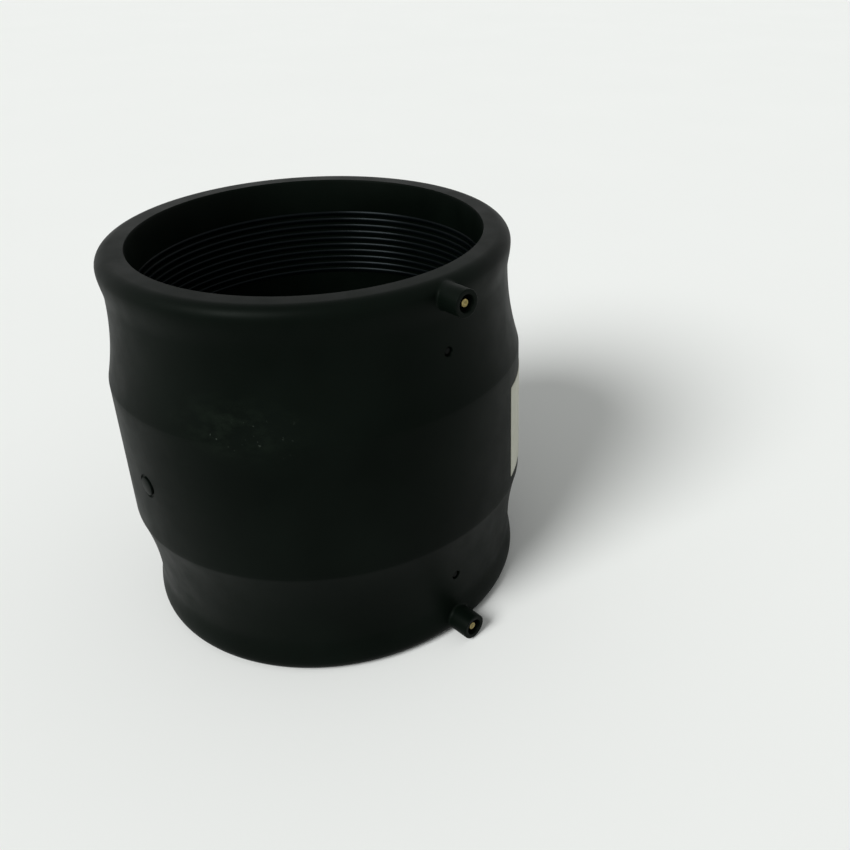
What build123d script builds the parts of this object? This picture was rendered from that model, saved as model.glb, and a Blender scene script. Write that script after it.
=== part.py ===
from build123d import *
import math
import os

# An electrofusion coupler for polyethylene pipe, standing on one of its two equal ends.
# The origin is the middle of the bore, +Z runs along the bore, and both terminals point
# along -Y. Azimuths are in degrees from -Y, positive towards +X. Lengths are millimetres.

# Bore and length
bore_diameter = 202.6
overall_length = 233.0
lead_in_width = 0.6
lead_in_depth = 1.5

# Outline of the wall, from an end to the middle band
wall_thickness = 14.5  # at the waist
rim_rounding = 7.5
bead_rise = 1.95  # bead above the waist
bead_run = 16.0  # from the bead down to the waist
shoulder_rise = 7.0  # middle band above the waist
band_length = 85.0  # between the two creases

# Chords in each round stretch of the outline, few enough to keep the mesh light
rim_chord_count = 4
bead_chord_count = 3
shoulder_chord_count = 3

# Stop lugs at the middle of the bore
lug_count = 4
lug_first_azimuth = 45.0
lug_height = 3.0
lug_width = 12.0
lug_thickness = 4.0
lug_root = 2.0  # how far a lug runs into the wall

# Heating coil: one coated wire, its turns fused side by side on the bore near each end
coil_inset = 21.5  # from the end face to the first turn
coil_turns = 10
coil_pitch = 4.65
coil_thickness = 0.6  # the turns stand this far proud of the bore
wire_width = 1.6  # where the wire runs straight, let into the wall
wire_depth = 1.5

# Terminals: a brass pin in a moulded shroud, one near each end
terminal_inset = 9.0  # from the end face to the pin's axis
shroud_diameter = 15.5
shroud_reach = 13.5  # beyond the bead
socket_diameter = 10.0
socket_depth = 12.5
pin_diameter = 4.7
pin_tip_depth = 1.3  # pin tip below the shroud's mouth
pin_root_width = 6.0  # across the flats of its six-sided root

# Fusion indicators: a small pin in a blind hole, one over each winding
indicator_inset = 41.0  # from the end face to the pin's axis
indicator_hole_diameter = 5.6
indicator_hole_depth = 5.5
indicator_pin_diameter = 4.0
indicator_tip_depth = 0.2  # pin tip below the waist's surface

# Gate mark: the cut sprue, in a shallow well on the middle band
gate_azimuth = -90.0
gate_height = -3.3
gate_well_diameter = 14.0
gate_well_depth = 0.8
gate_stub_diameter = 11.0
gate_stub_length = 1.4

# Identification label: a film stuck on the middle band
label_first_azimuth = 27.0
label_width = 100.0
label_length = 63.6
label_height = -3.5
label_thickness = 0.3

# Worked out from the sizes above
bore_radius = bore_diameter / 2
end_height = overall_length / 2
waist_radius = bore_radius + wall_thickness
bead_radius = waist_radius + bead_rise
band_radius = waist_radius + shoulder_rise
band_top = band_length / 2
rim_base = end_height - rim_rounding
waist_height = rim_base - bead_run

coil_radius = bore_radius - coil_thickness
coil_head = end_height - coil_inset
coil_foot = coil_head - coil_turns * coil_pitch
wire_back_radius = bore_radius + wire_depth

terminal_height = end_height - terminal_inset
shroud_face = bead_radius + shroud_reach
socket_floor = shroud_face - socket_depth
pin_tip = shroud_face - pin_tip_depth

indicator_height = end_height - indicator_inset
indicator_floor = waist_radius - indicator_hole_depth
indicator_tip = waist_radius - indicator_tip_depth

ends = {"upper": 1, "lower": -1}


def wall_plane(azimuth, radius, height):
    """A plane that faces outwards, its origin at that azimuth, radius and height."""
    turn = math.radians(azimuth)
    outwards = Vector(math.sin(turn), -math.cos(turn), 0)
    origin = outwards * radius + Vector(0, 0, height)
    return Plane(origin=origin, x_dir=Vector(0, 0, 1).cross(outwards), z_dir=outwards)


def chord_points(curve, chord_count):
    """The ends of that many equal chords along a curve."""
    return [curve @ (chord / chord_count) for chord in range(chord_count + 1)]


def ring_section(inner_radius, outer_radius, foot, head):
    """A rectangle on the section through the bore's axis, for a ring that is revolved."""
    with Locations(((inner_radius + outer_radius) / 2, (foot + head) / 2)):
        Rectangle(outer_radius - inner_radius, head - foot)


def wire_run(foot, head):
    """A straight length of the coil's wire, let into the wall and level with the bore."""
    with BuildSketch(Plane.XY.offset(foot)) as run:
        Circle(wire_back_radius)
        Circle(bore_radius, mode=Mode.SUBTRACT)
        with Locations((0, -wire_back_radius)):
            Rectangle(wire_width, wire_back_radius, mode=Mode.INTERSECT)
    return extrude(run.sketch, amount=head - foot, mode=Mode.PRIVATE)


# The wire's straight runs: a lead to each terminal, and the link between the windings.
# Each starts behind the middle of a winding's outermost turn.
lead_foot = coil_head - coil_pitch / 2
link_head = coil_foot + coil_pitch / 2
wire_runs = [
    wire_run(lead_foot, terminal_height),
    wire_run(-link_head, link_head),
    wire_run(-terminal_height, -lead_foot),
]

# Heating coil: one wire, so its windings, link and leads are one piece
with BuildPart() as heating_coil:
    with BuildSketch(Plane.XZ):
        ring_section(coil_radius, bore_radius, coil_foot, coil_head)
        ring_section(coil_radius, bore_radius, -coil_head, -coil_foot)
    revolve(axis=Axis.Z)
    add(wire_runs)
heating_coil.part.label = "heating_coil"

# Terminal pins: brass, each with a six-sided root moulded into the wall behind the lead wire
terminal_pins = {}
for end, side in ends.items():
    with BuildPart() as terminal_pin:
        with BuildSketch(wall_plane(0, wire_back_radius, side * terminal_height)):
            RegularPolygon(pin_root_width / 2, side_count=6, major_radius=False)
        extrude(amount=socket_floor - wire_back_radius)
        with BuildSketch(wall_plane(0, socket_floor, side * terminal_height)):
            Circle(pin_diameter / 2)
        extrude(amount=pin_tip - socket_floor)
    terminal_pin.part.label = f"terminal_pin_{end}"
    terminal_pins[end] = terminal_pin.part

# Fusion indicators: each pin stands on the floor of its hole with a gap all round
fusion_indicators = {}
for end, side in ends.items():
    with BuildPart() as fusion_indicator:
        with BuildSketch(wall_plane(0, indicator_floor, side * indicator_height)):
            Circle(indicator_pin_diameter / 2)
        extrude(amount=indicator_tip - indicator_floor)
    fusion_indicator.part.label = f"fusion_indicator_{end}"
    fusion_indicators[end] = fusion_indicator.part

# Coupler body: one moulding, with the wall, both shrouds and the stop lugs
with BuildPart() as coupler_body:
    # the wall: its upper half is drawn from the bore round the rim to the middle, then mirrored
    with BuildSketch(Plane.XZ):
        with BuildLine():
            bead = Vector(bead_radius, rim_base)
            waist = Vector(waist_radius, waist_height)
            crease = Vector(band_radius, band_top)
            down = Vector(0, -1)
            rim_centre = bead - Vector(rim_rounding, 0)
            rim_curve = CenterArc(rim_centre, rim_rounding, 90, -90, mode=Mode.PRIVATE)
            bead_curve = Spline(bead, waist, tangents=(down, down), mode=Mode.PRIVATE)
            shoulder_curve = TangentArc(waist, crease, tangent=down, mode=Mode.PRIVATE)
            bore_edge = Line((bore_radius, 0), (bore_radius, end_height - lead_in_depth))
            lead_in = Line(bore_edge @ 1, (bore_radius + lead_in_width, end_height))
            Line(lead_in @ 1, rim_curve @ 0)
            Polyline(chord_points(rim_curve, rim_chord_count))
            Polyline(chord_points(bead_curve, bead_chord_count))
            Polyline(chord_points(shoulder_curve, shoulder_chord_count))
            Line(crease, (band_radius, 0))
            mirror(about=Plane.XZ)
        make_face()
    revolve(axis=Axis.Z)

    # the stop lugs
    lug_depth = lug_height + lug_root
    with PolarLocations(bore_radius - lug_height + lug_depth / 2, lug_count, lug_first_azimuth):
        Box(lug_depth, lug_width, lug_thickness)

    # the shrouds, each with its socket
    for side in ends.values():
        with BuildSketch(wall_plane(0, wire_back_radius, side * terminal_height)):
            Circle(shroud_diameter / 2)
        extrude(amount=shroud_face - wire_back_radius)
        with BuildSketch(wall_plane(0, socket_floor, side * terminal_height)):
            Circle(socket_diameter / 2)
        extrude(amount=socket_depth, mode=Mode.SUBTRACT)

    # the seats of the wire's straight runs and the pins
    add(wire_runs, mode=Mode.SUBTRACT)
    add(terminal_pins.values(), mode=Mode.SUBTRACT)

    # the indicator holes
    for side in ends.values():
        with BuildSketch(wall_plane(0, indicator_floor, side * indicator_height)):
            Circle(indicator_hole_diameter / 2)
        extrude(amount=band_radius - indicator_floor, mode=Mode.SUBTRACT)

    # the gate mark
    well_floor = band_radius - gate_well_depth
    with BuildSketch(wall_plane(gate_azimuth, well_floor, gate_height)):
        Circle(gate_well_diameter / 2)
    extrude(amount=2 * gate_well_depth, mode=Mode.SUBTRACT)
    with BuildSketch(wall_plane(gate_azimuth, well_floor, gate_height)):
        Circle(gate_stub_diameter / 2)
    extrude(amount=gate_stub_length)
coupler_body.part.label = "coupler_body"

# Identification label: a film bent round the middle band
with BuildPart() as identification_label:
    label_foot = label_height - label_length / 2
    with BuildSketch(Plane.XZ.rotated((0, 0, label_first_azimuth - 90))):
        ring_section(band_radius, band_radius + label_thickness, label_foot, label_foot + label_length)
    revolve(axis=Axis.Z, revolution_arc=math.degrees(label_width / band_radius))
identification_label.part.label = "identification_label"

os.makedirs("parts", exist_ok=True)
export_step(coupler_body.part, "parts/coupler_body.step")
export_step(heating_coil.part, "parts/heating_coil.step")
export_step(identification_label.part, "parts/identification_label.step")
for end in ends:
    export_step(terminal_pins[end], f"parts/terminal_pin_{end}.step")
    export_step(fusion_indicators[end], f"parts/fusion_indicator_{end}.step")
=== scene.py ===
import bpy
import bmesh
import math
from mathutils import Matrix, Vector


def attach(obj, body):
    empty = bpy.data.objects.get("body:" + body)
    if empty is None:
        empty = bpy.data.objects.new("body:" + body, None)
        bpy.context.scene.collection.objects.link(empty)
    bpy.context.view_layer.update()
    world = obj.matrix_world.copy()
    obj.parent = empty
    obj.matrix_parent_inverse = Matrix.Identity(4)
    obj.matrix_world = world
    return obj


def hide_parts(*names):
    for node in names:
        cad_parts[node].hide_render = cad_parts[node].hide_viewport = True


# Electrofusion coupler, dressed around its CAD frame.
# Lengths are in millimetres here and become metres where Blender gets them. The bore runs
# along Z, both terminals point along -Y, and azimuths run from -Y towards +X in degrees.

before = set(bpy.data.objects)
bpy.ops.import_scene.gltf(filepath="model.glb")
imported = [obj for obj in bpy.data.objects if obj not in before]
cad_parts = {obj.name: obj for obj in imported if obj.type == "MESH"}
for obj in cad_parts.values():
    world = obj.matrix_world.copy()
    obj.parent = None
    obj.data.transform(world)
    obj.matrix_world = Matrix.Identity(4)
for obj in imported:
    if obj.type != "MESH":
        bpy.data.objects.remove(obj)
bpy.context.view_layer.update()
mm = 0.001
sideways = Vector((1, 0, 0))
outwards = Vector((0, -1, 0))  # azimuth 0, where the terminals are
upwards = Vector((0, 0, 1))
ends = {"Upper": 1, "Lower": -1}
fullTurn = 360
mergeGap = 0.002  # points closer than this become one
cornerShare = 0.3  # how far a rounding's middle point lies from its corner's two sides


# small helpers
def deselectAll():
    if bpy.context.mode != "OBJECT":
        bpy.ops.object.mode_set(mode="OBJECT")
    bpy.ops.object.select_all(action="DESELECT")


def pick(piece):
    deselectAll()
    piece.select_set(True)
    bpy.context.view_layer.objects.active = piece


def editAll(piece):
    pick(piece)
    bpy.ops.object.mode_set(mode="EDIT")
    bpy.ops.mesh.select_all(action="SELECT")


def freeze(piece):
    # place, turn and scale go into the mesh
    pick(piece)
    bpy.ops.object.transform_apply(location=True, rotation=True, scale=True)


def settle(piece, sharpAngle):
    freeze(piece)
    bpy.ops.object.shade_smooth_by_angle(angle=math.radians(sharpAngle))


def faceOutwards(piece):
    editAll(piece)
    bpy.ops.mesh.normals_make_consistent(inside=False)
    bpy.ops.object.mode_set(mode="OBJECT")


def closeUp(piece):
    editAll(piece)
    bpy.ops.mesh.remove_doubles(threshold=mergeGap * mm)
    bpy.ops.object.mode_set(mode="OBJECT")
    faceOutwards(piece)


def capEnds(piece):
    # fills the open ends of a swept section
    editAll(piece)
    bpy.ops.mesh.select_all(action="DESELECT")
    bpy.ops.mesh.select_non_manifold()
    bpy.ops.mesh.edge_face_add()
    bpy.ops.object.mode_set(mode="OBJECT")
    faceOutwards(piece)


def drawSection(name, points, across, along, start=(0, 0, 0)):
    # a vertex is extruded from point to point, each (across, along) in millimetres
    deselectAll()
    bpy.ops.mesh.primitive_plane_add(size=mm, location=(0, 0, 0))
    piece = bpy.context.object
    piece.name = piece.data.name = name
    editAll(piece)
    bpy.ops.mesh.merge(type="CENTER")
    here = Vector((0, 0, 0))
    for number, point in enumerate(points):
        there = (across * point[0] + along * point[1] + Vector(start)) * mm
        if number == 0:
            bpy.ops.transform.translate(value=there)
        else:
            bpy.ops.mesh.extrude_region_move(TRANSFORM_OT_translate={"value": there - here})
        here = there
    bpy.ops.object.mode_set(mode="OBJECT")
    return piece


def closeLoop(piece):
    # joins the two open ends of a drawn chain
    editAll(piece)
    bpy.ops.mesh.select_all(action="DESELECT")
    shape = bmesh.from_edit_mesh(piece.data)
    for vertex in shape.verts:
        vertex.select = len(vertex.link_edges) == 1
    shape.select_flush_mode()
    bpy.ops.mesh.edge_face_add()
    bpy.ops.object.mode_set(mode="OBJECT")


def spinSection(piece, steps, axis, centre=(0, 0, 0), turn=fullTurn):
    editAll(piece)
    bpy.ops.mesh.spin(
        steps=steps,
        angle=math.radians(turn),
        center=Vector(centre) * mm,
        axis=axis,
        use_auto_merge=turn == fullTurn,
    )
    bpy.ops.object.mode_set(mode="OBJECT")
    closeUp(piece)


def quarterRound(steps, first=0):
    # (sine, cosine) over a quarter turn
    angles = [math.radians(90 * step / steps) for step in range(first, steps + 1)]
    return [(math.sin(angle), math.cos(angle)) for angle in angles]


def applyModifier(piece, kind, **settings):
    pick(piece)
    bpy.ops.object.modifier_add(type=kind)
    modifier = piece.modifiers[-1]
    for setting, value in settings.items():
        setattr(modifier, setting, value)
    bpy.ops.object.modifier_apply(modifier=modifier.name)


def combine(piece, other, operation):
    applyModifier(piece, "BOOLEAN", object=other, operation=operation, solver="EXACT")
    bpy.data.objects.remove(other)


def joinPieces(pieces):
    deselectAll()
    for piece in pieces:
        piece.select_set(True)
    bpy.context.view_layer.objects.active = pieces[0]
    bpy.ops.object.join()
    return bpy.context.object


def countTriangles(piece):
    return sum(len(face.vertices) - 2 for face in piece.data.polygons)


# wall of the coupler
wall = {
    "boreRadius": 101.3,
    "endHeight": 116.5,
    "leadInWidth": 0.6,
    "leadInDepth": 1.5,
    "mouthEase": 0.1,  # softens the edge where the lead-in meets the end face
    "rimRounding": 7.5,
    "beadRadius": 117.75,
    "waistRadius": 115.8,
    "waistHeight": 93.0,
    "bandRadius": 122.8,
    "bandTop": 42.5,
    "creaseRounding": 0.5,
    "creaseEase": 0.05,
    "rimSteps": 12,
    "beadSteps": 12,
    "shoulderSteps": 30,
    "bandSteps": 14,
    "boreSteps": 10,
    "spinSteps": 480,
    "sharpAngle": 32,
}
rimBase = wall["endHeight"] - wall["rimRounding"]
rimCentre = wall["beadRadius"] - wall["rimRounding"]


def wallRadius(height):
    # outside radius of the wall at a height
    height = abs(height)
    if height > rimBase:
        rise = min(height - rimBase, wall["rimRounding"])
        return rimCentre + math.sqrt(wall["rimRounding"] ** 2 - rise**2)
    if height > wall["waistHeight"]:
        share = (height - wall["waistHeight"]) / (rimBase - wall["waistHeight"])
        swell = wall["beadRadius"] - wall["waistRadius"]
        return wall["waistRadius"] + swell * share**2 * (3 - 2 * share)
    if height > wall["bandTop"]:
        run = wall["waistHeight"] - wall["bandTop"]
        rise = wall["bandRadius"] - wall["waistRadius"]
        bend = (run**2 + rise**2) / (2 * rise)
        drop = wall["waistHeight"] - height
        return wall["waistRadius"] + bend - math.sqrt(bend**2 - drop**2)
    return wall["bandRadius"]


def stretchPoints(top, foot, steps):
    # points of the outline below one height, down to another
    heights = [top + (foot - top) * step / steps for step in range(1, steps + 1)]
    return [(wallRadius(height), height) for height in heights]


def outlinePoints():
    # the wall's outer side, from the top of the rim to the middle
    rounding = wall["rimRounding"]
    rim = [
        (rimCentre + rounding * rise, rimBase + rounding * run)
        for rise, run in quarterRound(wall["rimSteps"])
    ]
    creaseTop = wall["bandTop"] + wall["creaseRounding"]
    creaseFoot = wall["bandTop"] - wall["creaseRounding"]
    bead = stretchPoints(rimBase, wall["waistHeight"], wall["beadSteps"])
    shoulder = stretchPoints(wall["waistHeight"], creaseTop, wall["shoulderSteps"])
    crease = [(wall["bandRadius"] - wall["creaseEase"], wall["bandTop"])]
    band = [
        (wall["bandRadius"], creaseFoot * (1 - step / wall["bandSteps"]))
        for step in range(wall["bandSteps"])
    ]
    return rim + bead + shoulder + crease + band


print("wall")
upperHalf = outlinePoints()
lowerHalf = [(radius, -height) for radius, height in reversed(upperHalf)]
boreEdge = wall["endHeight"] - wall["leadInDepth"]
mouthRadius = wall["boreRadius"] + wall["leadInWidth"]
ease = wall["mouthEase"]
upperMouth = [
    (mouthRadius - ease / 2, wall["endHeight"] - ease),
    (mouthRadius + ease, wall["endHeight"]),
]
lowerMouth = [(radius, -height) for radius, height in reversed(upperMouth)]
borePoints = [
    (wall["boreRadius"], -boreEdge + 2 * boreEdge * step / wall["boreSteps"])
    for step in range(wall["boreSteps"] + 1)
]
middle = [(wall["bandRadius"], 0)]
sectionPoints = borePoints + upperMouth + upperHalf + middle + lowerHalf + lowerMouth
couplerBody = drawSection("couplerBody", sectionPoints + borePoints[:1], sideways, upwards)
spinSection(couplerBody, wall["spinSteps"], upwards)
print("wall faces", len(couplerBody.data.polygons))

# shrouds of the terminals, each with a fillet that follows the wall
shroud = {
    "height": 107.5,
    "radius": 7.75,
    "root": 106.0,
    "rootInset": 0.6,
    "footInset": 0.4,
    "footDepth": 0.55,
    "footEase": 0.02,
    "fillet": 1.1,
    "filletSteps": 6,
    "face": 131.25,
    "mouthRounding": 0.45,
    "mouthSteps": 4,
    "socketRadius": 5.0,
    "socketEase": 0.3,
    "socketFloor": 118.75,
    "floorRounding": 0.5,
    "fitDepth": 1.0,
    "spinSteps": 96,
}


def shroudPoints():
    # (distance from the shroud's axis, distance outwards from the bore's axis)
    radius, fillet, face = shroud["radius"], shroud["fillet"], shroud["face"]
    rounding, foot = shroud["mouthRounding"], wall["beadRadius"]
    points = [
        (0, shroud["root"]),
        (radius - shroud["rootInset"], shroud["root"]),
        (radius + fillet - shroud["footInset"], foot - shroud["footDepth"]),
        (radius + fillet, foot - shroud["footEase"]),
    ]
    for sine, cosine in quarterRound(shroud["filletSteps"], first=1):
        points.append((radius + fillet * (1 - sine), foot + fillet * (1 - cosine)))
    for sine, cosine in quarterRound(shroud["mouthSteps"]):
        points.append((radius - rounding * (1 - cosine), face - rounding * (1 - sine)))
    socket, socketFloor = shroud["socketRadius"], shroud["socketFloor"]
    socketEase, floorRounding = shroud["socketEase"], shroud["floorRounding"]
    points += [
        (socket + socketEase, face),
        (socket + cornerShare * socketEase, face - cornerShare * socketEase),
        (socket, face - socketEase),
        (socket, socketFloor + floorRounding),
        (socket - floorRounding, socketFloor),
        (0, socketFloor),
    ]
    return points


def fitFoot(piece):
    # the foot and its fillet follow the wall, which falls away round the bore and over the rim
    footLow = (wall["beadRadius"] - shroud["fitDepth"]) * mm
    footHigh = (wall["beadRadius"] + shroud["fillet"]) * mm
    for vertex in piece.data.vertices:
        if footLow < -vertex.co.y <= footHigh:
            height = min(abs(vertex.co.z) / mm, wall["endHeight"])
            depth = math.sqrt((wallRadius(height) * mm) ** 2 - vertex.co.x**2)
            vertex.co.y += wall["beadRadius"] * mm - depth


print("shrouds")
for end, side in ends.items():
    centre = (0, 0, side * shroud["height"])
    piece = drawSection("shroud" + end, shroudPoints(), sideways, outwards, centre)
    spinSection(piece, shroud["spinSteps"], outwards, centre)
    fitFoot(piece)
    combine(couplerBody, piece, "UNION")

# stop lugs in the middle of the bore
lug = {
    "count": 4,
    "firstAzimuth": 45,
    "height": 3.0,
    "root": 2.0,
    "width": 12.0,
    "thickness": 4.0,
    "rounding": 0.6,
    "roundingSteps": 3,
}

print("stop lugs")
lugDepth = lug["height"] + lug["root"]
lugCentre = wall["boreRadius"] - lug["height"] + lugDepth / 2
for number in range(lug["count"]):
    deselectAll()
    bpy.ops.mesh.primitive_cube_add(size=1, location=(0, -lugCentre * mm, 0))
    piece = bpy.context.object
    piece.name = "lug"
    piece.scale = (lug["width"] * mm, lugDepth * mm, lug["thickness"] * mm)
    freeze(piece)
    azimuth = lug["firstAzimuth"] + fullTurn * number / lug["count"]
    piece.rotation_euler.z = math.radians(azimuth)
    freeze(piece)
    applyModifier(piece, "BEVEL", width=lug["rounding"] * mm, segments=lug["roundingSteps"])
    combine(couplerBody, piece, "UNION")

# fusion indicators: a blind hole over each winding, and the pin that stands in it
indicator = {
    "height": 75.5,
    "holeRadius": 2.8,
    "holeFloor": 110.3,
    "holeEase": 0.12,
    "rimCurve": [(0, -3), (1, -1), (3, 1)],  # out and up from the hole's edge, in eases
    "cutFlare": 5,  # how much wider the cut ends, in eases
    "floorRounding": 0.3,
    "pinRadius": 2.0,
    "pinTip": 115.6,
    "tipRounding": 0.4,
    "tipCurve": [(0, 1), (0.15, 0.5), (0.5, 0.15), (1, 0)],  # in and down, in roundings
    "tipDome": 0.05,
    "cutReach": 2.0,
    "spinSteps": 48,
    "sharpAngle": 40,
}

print("indicator holes")
holeRim = wallRadius(indicator["height"])
hole, holeFloor = indicator["holeRadius"], indicator["holeFloor"]
holeEase, holeTop = indicator["holeEase"], holeRim + indicator["cutReach"]
holePoints = [
    (0, holeFloor),
    (hole - indicator["floorRounding"], holeFloor),
    (hole, holeFloor + indicator["floorRounding"]),
]
for out, up in indicator["rimCurve"]:
    holePoints.append((hole + out * holeEase, holeRim + up * holeEase))
holePoints += [(hole + indicator["cutFlare"] * holeEase, holeTop), (0, holeTop)]
for end, side in ends.items():
    centre = (0, 0, side * indicator["height"])
    piece = drawSection("hole" + end, holePoints, sideways, outwards, centre)
    spinSection(piece, indicator["spinSteps"], outwards, centre)
    combine(couplerBody, piece, "DIFFERENCE")

print("indicator pins")
fusionIndicators = {}
radius, tip, rounding = indicator["pinRadius"], indicator["pinTip"], indicator["tipRounding"]
tipPoints = [(0, holeFloor), (radius, holeFloor)]
for inwards, down in indicator["tipCurve"]:
    tipPoints.append((radius - inwards * rounding, tip - down * rounding))
tipPoints.append((0, tip + indicator["tipDome"]))
for end, side in ends.items():
    centre = (0, 0, side * indicator["height"])
    piece = drawSection("fusionIndicator" + end, tipPoints, sideways, outwards, centre)
    spinSection(piece, indicator["spinSteps"], outwards, centre)
    settle(piece, indicator["sharpAngle"])
    fusionIndicators[end] = piece

# gate mark: a shallow well with the cut sprue in it
gate = {
    "height": -3.3,
    "wellRadius": 7.0,
    "wellDepth": 0.8,
    "wellEase": 0.4,
    "rimCurve": [(0.1, -0.9), (1, 0.25)],  # out and up from the well's edge, in eases
    "cutFlare": 1.5,
    "floorRounding": 0.25,
    "stubRadius": 5.5,
    "stubLength": 1.4,
    "stubRounding": 0.35,
    "stubRoot": 2.0,
    "cutReach": 2.0,
    "spinSteps": 64,
}

print("gate mark")
gateOutwards = Vector((-1, 0, 0))
gateAcross = Vector((0, 1, 0))
gateCentre = (0, 0, gate["height"])
gateFloor = wall["bandRadius"] - gate["wellDepth"]
well, wellTop = gate["wellRadius"], wall["bandRadius"] + gate["cutReach"]
wellEase = gate["wellEase"]
wellPoints = [
    (0, gateFloor),
    (well - gate["floorRounding"], gateFloor),
    (well, gateFloor + gate["floorRounding"]),
]
for out, up in gate["rimCurve"]:
    wellPoints.append((well + out * wellEase, wall["bandRadius"] + up * wellEase))
wellPoints += [(well + gate["cutFlare"] * wellEase, wellTop), (0, wellTop)]
piece = drawSection("well", wellPoints, gateAcross, gateOutwards, gateCentre)
spinSection(piece, gate["spinSteps"], gateOutwards, gateCentre)
combine(couplerBody, piece, "DIFFERENCE")
stub, rounding = gate["stubRadius"], gate["stubRounding"]
stubRoot, stubTop = gateFloor - gate["stubRoot"], gateFloor + gate["stubLength"]
stubPoints = [
    (0, stubRoot),
    (stub, stubRoot),
    (stub, stubTop - rounding),
    (stub - cornerShare * rounding, stubTop - cornerShare * rounding),
    (stub - rounding, stubTop),
    (0, stubTop),
]
piece = drawSection("stub", stubPoints, gateAcross, gateOutwards, gateCentre)
spinSection(piece, gate["spinSteps"], gateOutwards, gateCentre)
combine(couplerBody, piece, "UNION")
closeUp(couplerBody)
settle(couplerBody, wall["sharpAngle"])
print("body triangles", countTriangles(couplerBody))

# winding: one coated wire, its turns fused side by side on the bore
winding = {
    "crest": 100.7,  # radius to the top of a ridge
    "foot": 101.32,  # radius where its flanks run into the bore
    "back": 101.9,
    "backShare": 0.8,
    "flankAngle": 42,
    "arcSteps": 10,
    "pitch": 4.65,
    "turns": 10,
    "firstHeight": 94.2,
    "turnSteps": 200,
    "taperSteps": 10,
    "sinkDepth": 0.1,
    "sharpAngle": 50,
}


def ridgePoints():
    flank = math.radians(winding["flankAngle"])
    bend = (winding["foot"] - winding["crest"]) / (1 - math.cos(flank))
    points = []
    for step in range(winding["arcSteps"] + 1):
        angle = flank * (1 - 2 * step / winding["arcSteps"])
        radius = winding["crest"] + bend * (1 - math.cos(angle))
        points.append((radius, winding["firstHeight"] + bend * math.sin(angle)))
    halfBack = winding["backShare"] * bend * math.sin(flank)
    points.append((winding["back"], winding["firstHeight"] - halfBack))
    points.append((winding["back"], winding["firstHeight"] + halfBack))
    return points


def sinkEnds(piece, sectionCount):
    # each end of the ridge sinks into the bore, so that it doesn't stop short
    lastStep = winding["turns"] * winding["turnSteps"]
    sunk = (winding["foot"] + winding["sinkDepth"]) * mm
    for vertex in piece.data.vertices:
        step = vertex.index // sectionCount
        share = min(step, lastStep - step) / winding["taperSteps"]
        radius = math.hypot(vertex.co.x, vertex.co.y)
        if share < 1 and radius < sunk:
            rise = share * share * (3 - 2 * share)
            factor = (sunk + (radius - sunk) * rise) / radius
            vertex.co.x *= factor
            vertex.co.y *= factor


print("windings")
ridge = ridgePoints()
upperWinding = drawSection("upperWinding", ridge, outwards, upwards)
closeLoop(upperWinding)
applyModifier(
    upperWinding,
    "SCREW",
    axis="Z",
    angle=math.radians(fullTurn),
    screw_offset=-winding["pitch"] * mm,
    iterations=winding["turns"],
    steps=winding["turnSteps"],
    render_steps=winding["turnSteps"],
    use_smooth_shade=True,
)
sinkEnds(upperWinding, len(ridge))
capEnds(upperWinding)
pick(upperWinding)
bpy.ops.object.duplicate()
lowerWinding = bpy.context.object
lowerWinding.scale.z = -1
freeze(lowerWinding)
faceOutwards(lowerWinding)

# the wire's straight runs, a faint bead under the bore's skin: two leads and the link
wire = {
    "radius": 0.8,
    "rise": 0.15,
    "runs": [(92.0, 107.5), (-49.0, 49.0), (-107.5, -92.0)],
    "sides": 32,
    "endRounding": 0.35,
    "endSteps": 3,
}
wireCentre = wall["boreRadius"] + wire["radius"] - wire["rise"]
runPieces = []
for foot, head in wire["runs"]:
    deselectAll()
    bpy.ops.mesh.primitive_cylinder_add(
        vertices=wire["sides"],
        radius=wire["radius"] * mm,
        depth=(head - foot) * mm,
        location=(0, -wireCentre * mm, (head + foot) / 2 * mm),
    )
    piece = bpy.context.object
    freeze(piece)
    applyModifier(piece, "BEVEL", width=wire["endRounding"] * mm, segments=wire["endSteps"])
    runPieces.append(piece)
heatingWinding = joinPieces([upperWinding, lowerWinding] + runPieces)
heatingWinding.name = heatingWinding.data.name = "heatingWinding"
settle(heatingWinding, winding["sharpAngle"])
print("winding triangles", countTriangles(heatingWinding))

# brass pins: a six-sided root in the wall, a round shank and a dimpled tip
pin = {
    "radius": 2.35,
    "tip": 129.95,
    "tipRounding": 0.45,
    "tipSteps": 4,
    "dimpleRadius": 0.9,
    "dimpleEase": 0.1,
    "dimpleDepth": 0.35,
    "rootBack": 102.8,
    "rootFront": 118.75,
    "rootSides": 6,
    "rootWidth": 6.0,  # across the flats
    "rootRounding": 0.25,
    "rootSteps": 2,
    "overlap": 1.0,
    "spinSteps": 48,
    "sharpAngle": 40,
}


def pinPoints():
    radius, tip, rounding = pin["radius"], pin["tip"], pin["tipRounding"]
    dimple, dimpleEase = pin["dimpleRadius"], pin["dimpleEase"]
    dimpleFloor = tip - pin["dimpleDepth"]
    shankFoot = pin["rootFront"] - pin["overlap"]
    points = [(0, shankFoot), (radius, shankFoot)]
    for sine, cosine in quarterRound(pin["tipSteps"]):
        points.append((radius - rounding * (1 - cosine), tip - rounding * (1 - sine)))
    points += [
        (dimple + dimpleEase, tip),
        (dimple - dimpleEase, tip - dimpleEase),
        (dimple / 2, dimpleFloor),
        (0, dimpleFloor),
    ]
    return points


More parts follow.
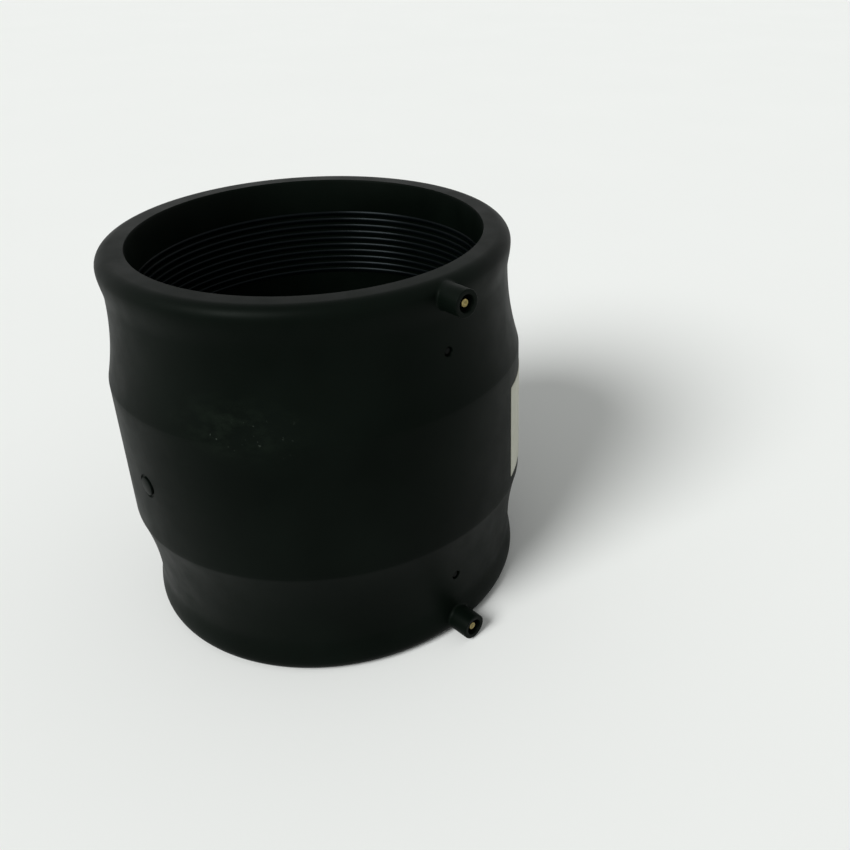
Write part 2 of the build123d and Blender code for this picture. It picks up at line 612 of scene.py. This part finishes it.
print("terminal pins")
terminalPins = {}
rootLength = pin["rootFront"] - pin["rootBack"]
for end, side in ends.items():
    height = side * shroud["height"]
    shank = drawSection("terminalPin" + end, pinPoints(), sideways, outwards, (0, 0, height))
    spinSection(shank, pin["spinSteps"], outwards, (0, 0, height))
    deselectAll()
    bpy.ops.mesh.primitive_cylinder_add(
        vertices=pin["rootSides"],
        radius=pin["rootWidth"] / math.sqrt(3) * mm,  # out to the corners
        depth=rootLength * mm,
        location=(0, -(pin["rootBack"] + rootLength / 2) * mm, height * mm),
        rotation=(math.radians(90), 0, 0),
    )
    root = bpy.context.object
    freeze(root)
    applyModifier(root, "BEVEL", width=pin["rootRounding"] * mm, segments=pin["rootSteps"])
    combine(shank, root, "UNION")
    settle(shank, pin["sharpAngle"])
    terminalPins[end] = shank

# label: a plain film bent round the band
label = {
    "firstAzimuth": 27.0,
    "width": 100.0,
    "length": 63.6,
    "height": -3.5,
    "thickness": 0.3,
    "edgeEase": 0.08,
    "lengthSteps": 12,
    "turnSteps": 72,
    "sharpAngle": 30,
}

print("label")
firstTurn = math.radians(label["firstAzimuth"])
labelOutwards = Vector((math.sin(firstTurn), -math.cos(firstTurn), 0))
labelHead = label["height"] + label["length"] / 2
labelFoot = label["height"] - label["length"] / 2
inner, outer = wall["bandRadius"], wall["bandRadius"] + label["thickness"]
ease = label["edgeEase"]
points = [(inner, labelHead), (outer - ease, labelHead)]
for step in range(label["lengthSteps"] + 1):
    drop = (label["length"] - 2 * ease) * step / label["lengthSteps"]
    points.append((outer, labelHead - ease - drop))
points += [(outer - ease, labelFoot), (inner, labelFoot)]
identificationLabel = drawSection("identificationLabel", points, labelOutwards, upwards)
closeLoop(identificationLabel)
labelTurn = -math.degrees(label["width"] / wall["bandRadius"])
spinSection(identificationLabel, label["turnSteps"], upwards, turn=labelTurn)
capEnds(identificationLabel)
settle(identificationLabel, label["sharpAngle"])


# materials
mixInputs = (0, 6, 7)  # sockets of a mix node: share, first colour and second colour
mixResult = 2
patchCore = 0.3  # share of a patch's radius that has its full effect


class Nodes:
    # a shorthand for wiring one material
    def __init__(self, name):
        self.material = bpy.data.materials.new(name)
        self.material.use_nodes = True
        self.tree = self.material.node_tree
        self.shader = self.tree.nodes["Principled BSDF"]
        self.place = self.tree.nodes.new("ShaderNodeTexCoord").outputs["Object"]

    def plug(self, value, socket):
        # a number or a colour is set, and another node's output is linked
        if isinstance(value, bpy.types.NodeSocket):
            self.tree.links.new(value, socket)
        elif isinstance(value, tuple):
            socket.default_value = (*value, 1)
        else:
            socket.default_value = value

    def noise(self, scale, detail, roughness=0.5, place=None):
        node = self.tree.nodes.new("ShaderNodeTexNoise")
        node.inputs["Scale"].default_value = scale
        node.inputs["Detail"].default_value = detail
        node.inputs["Roughness"].default_value = roughness
        self.plug(place or self.place, node.inputs["Vector"])
        return node.outputs["Fac"]

    def stretched(self, scale):
        node = self.tree.nodes.new("ShaderNodeMapping")
        node.inputs["Scale"].default_value = scale
        self.plug(self.place, node.inputs["Vector"])
        return node.outputs["Vector"]

    def height(self):
        node = self.tree.nodes.new("ShaderNodeSeparateXYZ")
        self.plug(self.place, node.inputs["Vector"])
        return node.outputs["Z"]

    def remap(self, value, fromLow, fromHigh, toLow=0.0, toHigh=1.0):
        node = self.tree.nodes.new("ShaderNodeMapRange")
        limits = {"From Min": fromLow, "From Max": fromHigh, "To Min": toLow, "To Max": toHigh}
        self.plug(value, node.inputs["Value"])
        for socketName, limit in limits.items():
            node.inputs[socketName].default_value = limit
        return node.outputs["Result"]

    def calculate(self, operation, *values):
        node = self.tree.nodes.new("ShaderNodeMath")
        node.operation = operation
        for value, socket in zip(values, node.inputs):
            self.plug(value, socket)
        return node.outputs["Value"]

    def near(self, point, radius, flatness):
        # 1 round a point of the object and 0 beyond the radius; flatness squeezes it in height
        node = self.tree.nodes.new("ShaderNodeVectorMath")
        node.operation = "DISTANCE"
        self.plug(self.stretched((1.0, 1.0, flatness)), node.inputs[0])
        node.inputs[1].default_value = Vector((point[0], point[1], point[2] * flatness)) * mm
        distance, reach = node.outputs["Value"], radius * mm
        return self.remap(distance, patchCore * reach, reach, toLow=1.0, toHigh=0.0)

    def nearAny(self, patches):
        shares = [self.near(*patch) for patch in patches]
        most = shares[0]
        for share in shares[1:]:
            most = self.calculate("MAXIMUM", most, share)
        return most

    def blend(self, share, first, second):
        node = self.tree.nodes.new("ShaderNodeMix")
        node.data_type = "RGBA"
        for value, number in zip((share, first, second), mixInputs):
            self.plug(value, node.inputs[number])
        return node.outputs[mixResult]

    def bump(self, height, distance, strength, below=None):
        node = self.tree.nodes.new("ShaderNodeBump")
        node.inputs["Distance"].default_value = distance * mm
        node.inputs["Strength"].default_value = strength
        self.plug(height, node.inputs["Height"])
        if below:
            self.plug(below, node.inputs["Normal"])
        return node.outputs["Normal"]

    def finish(self, colour, roughness, normal=None, **constants):
        self.plug(colour, self.shader.inputs["Base Color"])
        self.plug(roughness, self.shader.inputs["Roughness"])
        if normal:
            self.plug(normal, self.shader.inputs["Normal"])
        for socketName, value in constants.items():
            self.shader.inputs[socketName.replace("_", " ")].default_value = value
        return self.material


# A noise is given by its scale and detail, and sometimes its roughness; a range is the part
# of it that counts; and a bump is its depth in millimetres and its strength.
smudgeRange = (0.3, 0.7)
cloudRange = (0.35, 0.7)

plastic = {
    "dark": (0.0007, 0.0017, 0.0010),
    "light": (0.0020, 0.0036, 0.0025),
    "rubbed": (0.0080, 0.0125, 0.0082),
    "nicked": (0.024, 0.030, 0.024),
    "rubStrength": 0.4,
    "specular": 0.035,
    "tint": (0.92, 1.0, 0.93, 1.0),
    "roughness": (0.40, 0.50),
    "rubRoughness": 0.10,
    # rubbed and nicked places: centre, radius and flatness
    "rubs": [((-102, -66, 51), 42, 2.1), ((-118, -8, -83), 9, 1.6)],
    "nicks": [((-102, -66, 48), 42, 2.6), ((-93, -72, -100), 1.4, 1.0)],
    "rubBump": (0.2, 0.35),
    "clouds": (14, 3),
    "smears": (75, 5, 0.62),
    "smearStretch": (1.0, 1.0, 1.7),
    "smearRange": (0.43, 0.66),
    "specks": (330, 2),
    "speckRange": (0.69, 0.74),
    "smudges": (55, 4, 0.6),
    "waves": (26, 1),  # slow waves of a thick moulding
    "waveBump": (1.1, 0.35),
    "grain": (1500, 2),
    "grainBump": (0.06, 0.25),
}


def mouldedPlastic():
    nodes = Nodes("mouldedPolyethylene")
    cloudy = nodes.remap(nodes.noise(*plastic["clouds"]), *cloudRange)
    smearPlace = nodes.stretched(plastic["smearStretch"])
    smears = nodes.remap(nodes.noise(*plastic["smears"], smearPlace), *plastic["smearRange"])
    specks = nodes.remap(nodes.noise(*plastic["specks"]), *plastic["speckRange"])
    rubShare = nodes.calculate("MULTIPLY", nodes.nearAny(plastic["rubs"]), smears)
    nickShare = nodes.calculate("MULTIPLY", nodes.nearAny(plastic["nicks"]), specks)
    tone = nodes.blend(cloudy, plastic["dark"], plastic["light"])
    faded = nodes.calculate("MULTIPLY", rubShare, plastic["rubStrength"])
    tone = nodes.blend(faded, tone, plastic["rubbed"])
    tone = nodes.blend(nickShare, tone, plastic["nicked"])
    smudges = nodes.noise(*plastic["smudges"])
    smudged = nodes.remap(smudges, *smudgeRange, *plastic["roughness"])
    rubbed = nodes.calculate("MULTIPLY", rubShare, plastic["rubRoughness"])
    roughness = nodes.calculate("ADD", smudged, rubbed)
    normal = nodes.bump(nodes.noise(*plastic["waves"]), *plastic["waveBump"])
    normal = nodes.bump(nodes.noise(*plastic["grain"]), *plastic["grainBump"], normal)
    normal = nodes.bump(rubShare, *plastic["rubBump"], normal)
    return nodes.finish(
        tone,
        roughness,
        normal,
        Specular_IOR_Level=plastic["specular"],
        Specular_Tint=plastic["tint"],
    )


coating = {
    "dark": (0.0003, 0.0008, 0.0009),
    "light": (0.0010, 0.0018, 0.0020),
    "specular": 0.06,
    "tint": (0.80, 0.93, 1.0, 1.0),
    "roughness": (0.25, 0.33),
    "clouds": (40, 3),
    "smudges": (120, 3),
    "grain": (160, 2),
    "grainBump": (0.3, 0.2),
}


def fusedCoating():
    nodes = Nodes("fusedCoating")
    cloudy = nodes.remap(nodes.noise(*coating["clouds"]), *cloudRange)
    tone = nodes.blend(cloudy, coating["dark"], coating["light"])
    smudges = nodes.noise(*coating["smudges"])
    roughness = nodes.remap(smudges, *smudgeRange, *coating["roughness"])
    normal = nodes.bump(nodes.noise(*coating["grain"]), *coating["grainBump"])
    return nodes.finish(
        tone,
        roughness,
        normal,
        Specular_IOR_Level=coating["specular"],
        Specular_Tint=coating["tint"],
    )


brass = {
    # Both brass tones are darker than clean brass: partly aged, dull brass, partly painted
    # shade of the sockets.
    "dullAndShaded": (0.17, 0.135, 0.05),
    "bright": (0.31, 0.255, 0.11),
    "roughness": (0.24, 0.40),
    "clouds": (700, 3),
    "rings": (900, 2, 0.5),  # turning marks
    "ringStretch": (0.15, 3.0, 0.15),
    "ringBump": (0.05, 0.3),
}


def turnedBrass():
    nodes = Nodes("turnedBrass")
    cloudy = nodes.remap(nodes.noise(*brass["clouds"]), *cloudRange)
    # base tone of the brass, with painted shade of the sockets in it
    tone = nodes.blend(cloudy, brass["dullAndShaded"], brass["bright"])
    rings = nodes.noise(*brass["rings"], nodes.stretched(brass["ringStretch"]))
    roughness = nodes.remap(rings, *smudgeRange, *brass["roughness"])
    return nodes.finish(tone, roughness, nodes.bump(rings, *brass["ringBump"]), Metallic=1.0)


popUp = {
    "dark": (0.0006, 0.0012, 0.0009),
    "light": (0.0015, 0.0024, 0.0018),
    "specular": 0.05,
    "roughness": (0.35, 0.50),
    "clouds": (500, 2),
    "smudges": (300, 2),
    "grain": (1800, 2),
    "grainBump": (0.08, 0.3),
}


def indicatorPlastic():
    nodes = Nodes("indicatorPlastic")
    tone = nodes.blend(nodes.noise(*popUp["clouds"]), popUp["dark"], popUp["light"])
    smudges = nodes.noise(*popUp["smudges"])
    roughness = nodes.remap(smudges, *smudgeRange, *popUp["roughness"])
    normal = nodes.bump(nodes.noise(*popUp["grain"]), *popUp["grainBump"])
    return nodes.finish(tone, roughness, normal, Specular_IOR_Level=popUp["specular"])


film = {
    # Both film tones are darker than a pale film: partly the film's own cream-grey, partly
    # painted shade.
    "dark": (0.42, 0.42, 0.345),
    "light": (0.48, 0.475, 0.395),
    "grimy": (0.22, 0.21, 0.165),
    "edgeWidth": 3.0,
    "specular": 0.4,
    "roughness": (0.32, 0.50),
    "clouds": (30, 4),
    "cloudRange": (0.3, 0.75),
    "specks": (900, 2),
    "speckRange": (0.70, 0.76),
    "speckStrength": 0.5,
    "patches": (140, 4, 0.6),
    "patchRange": (0.35, 0.65),
    "patchStrength": 0.7,
    "smudges": (90, 3),
    "waves": (60, 2),
    "waveBump": (0.6, 0.25),
}


def labelFilm():
    nodes = Nodes("labelFilm")
    cloudy = nodes.remap(nodes.noise(*film["clouds"]), *film["cloudRange"])
    # the film's base tone, with painted shade mixed into its cream-grey
    tone = nodes.blend(cloudy, film["dark"], film["light"])
    specks = nodes.noise(*film["specks"])
    specked = nodes.remap(specks, *film["speckRange"], toHigh=film["speckStrength"])
    tone = nodes.blend(specked, tone, film["grimy"])
    # grime gathers along the upper and the lower edge
    fromMiddle = nodes.calculate("SUBTRACT", nodes.height(), label["height"] * mm)
    halfLength = label["length"] / 2 * mm
    edgeStart = halfLength - film["edgeWidth"] * mm
    edge = nodes.remap(nodes.calculate("ABSOLUTE", fromMiddle), edgeStart, halfLength)
    patches = nodes.noise(*film["patches"])
    patchy = nodes.remap(patches, *film["patchRange"], toHigh=film["patchStrength"])
    tone = nodes.blend(nodes.calculate("MULTIPLY", edge, patchy), tone, film["grimy"])
    smudges = nodes.noise(*film["smudges"])
    roughness = nodes.remap(smudges, *smudgeRange, *film["roughness"])
    normal = nodes.bump(nodes.noise(*film["waves"]), *film["waveBump"])
    return nodes.finish(tone, roughness, normal, Specular_IOR_Level=film["specular"])


def dress(piece, material, replacedNode):
    piece.data.materials.clear()
    piece.data.materials.append(material)
    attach(piece, "root")
    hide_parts(replacedNode)


print("materials")
dress(couplerBody, mouldedPlastic(), "coupler_body")
dress(heatingWinding, fusedCoating(), "heating_coil")
dress(identificationLabel, labelFilm(), "identification_label")
pinFinish, indicatorFinish = turnedBrass(), indicatorPlastic()
for end in ends:
    pinNode, indicatorNode = "terminal_pin_" + end.lower(), "fusion_indicator_" + end.lower()
    dress(terminalPins[end], pinFinish, pinNode)
    dress(fusionIndicators[end], indicatorFinish, indicatorNode)

# floor and room
stage = {
    "floorSize": 14.0,
    "floorColour": (0.90, 0.90, 0.89),
    "floorShade": (0.88, 0.88, 0.87),
    "floorClouds": (3, 3),
    "floorSmudges": (6, 2),
    "floorRoughness": (0.75, 0.85),
    "floorSpecular": 0.08,
    "roomColour": (0.97, 1.0, 0.98, 1.0),
    "roomStrength": 0.40,
    "seenColour": (1, 1, 1, 1),
}

print("stage")
deselectAll()
floorHeight = -wall["endHeight"] * mm
bpy.ops.mesh.primitive_plane_add(size=stage["floorSize"], location=(0, 0, floorHeight))
floor = bpy.context.object
floor.name = "floor"
floorNodes = Nodes("paleFloor")
floorClouds = floorNodes.noise(*stage["floorClouds"])
floorTone = floorNodes.blend(floorClouds, stage["floorColour"], stage["floorShade"])
floorSmudges = floorNodes.noise(*stage["floorSmudges"])
floorRoughness = floorNodes.remap(floorSmudges, *smudgeRange, *stage["floorRoughness"])
floorFinish = floorNodes.finish(
    floorTone, floorRoughness, Specular_IOR_Level=stage["floorSpecular"]
)
floor.data.materials.append(floorFinish)

# the room is white wherever it is seen, reflected or seen through, and dimmer as a light
room = bpy.data.worlds.new("paleRoom")
bpy.context.scene.world = room
room.use_nodes = True
tree = room.node_tree
roomLight = tree.nodes["Background"]
roomLight.inputs["Color"].default_value = stage["roomColour"]
roomLight.inputs["Strength"].default_value = stage["roomStrength"]
whiteRoom = tree.nodes.new("ShaderNodeBackground")
whiteRoom.inputs["Color"].default_value = stage["seenColour"]
rays = tree.nodes.new("ShaderNodeLightPath")
seen = tree.nodes.new("ShaderNodeMath")
seenThrough = tree.nodes.new("ShaderNodeMath")
seen.operation = seenThrough.operation = "MAXIMUM"
chooser = tree.nodes.new("ShaderNodeMixShader")
tree.links.new(rays.outputs["Is Camera Ray"], seen.inputs[0])
tree.links.new(rays.outputs["Is Glossy Ray"], seen.inputs[1])
tree.links.new(seen.outputs["Value"], seenThrough.inputs[0])
tree.links.new(rays.outputs["Is Transmission Ray"], seenThrough.inputs[1])
tree.links.new(seenThrough.outputs["Value"], chooser.inputs[0])
tree.links.new(roomLight.outputs["Background"], chooser.inputs[1])
tree.links.new(whiteRoom.outputs["Background"], chooser.inputs[2])
tree.links.new(chooser.outputs["Shader"], tree.nodes["World Output"].inputs["Surface"])

# one broad, soft window from the left, far enough away to light the whole floor evenly
window = {
    "azimuth": -86,
    "elevation": 40,
    "spread": 28,
    "strength": 2.85,
    "colour": (0.98, 1.0, 0.99),
}
turn, rise = math.radians(window["azimuth"]), math.radians(window["elevation"])
flat = math.cos(rise)
towardsWindow = Vector((math.sin(turn) * flat, -math.cos(turn) * flat, math.sin(rise)))
windowData = bpy.data.lights.new("window", "SUN")
windowData.energy = window["strength"]
windowData.angle = math.radians(window["spread"])
windowData.color = window["colour"]
windowLamp = bpy.data.objects.new("window", windowData)
windowLamp.location = towardsWindow
windowLamp.rotation_euler = towardsWindow.to_track_quat("Z", "Y").to_euler()
bpy.context.scene.collection.objects.link(windowLamp)

view = {
    "place": (-0.28395, -0.42689, 0.28690),
    "turn": (63.2595, -0.3394, -47.3490),
    "lens": 37.67,
    "sensor": 36,
    "shift": (-0.1107, -0.0862),
    "nearest": 0.01,
}
cameraData = bpy.data.cameras.new("camera")
cameraData.sensor_width = view["sensor"]
cameraData.lens = view["lens"]
cameraData.shift_x, cameraData.shift_y = view["shift"]
cameraData.clip_start = view["nearest"]
camera = bpy.data.objects.new("camera", cameraData)
camera.location = view["place"]
camera.rotation_euler = [math.radians(angle) for angle in view["turn"]]
bpy.context.scene.collection.objects.link(camera)
bpy.context.scene.camera = camera
bpy.context.scene.view_settings.view_transform = "Standard"

print("done")
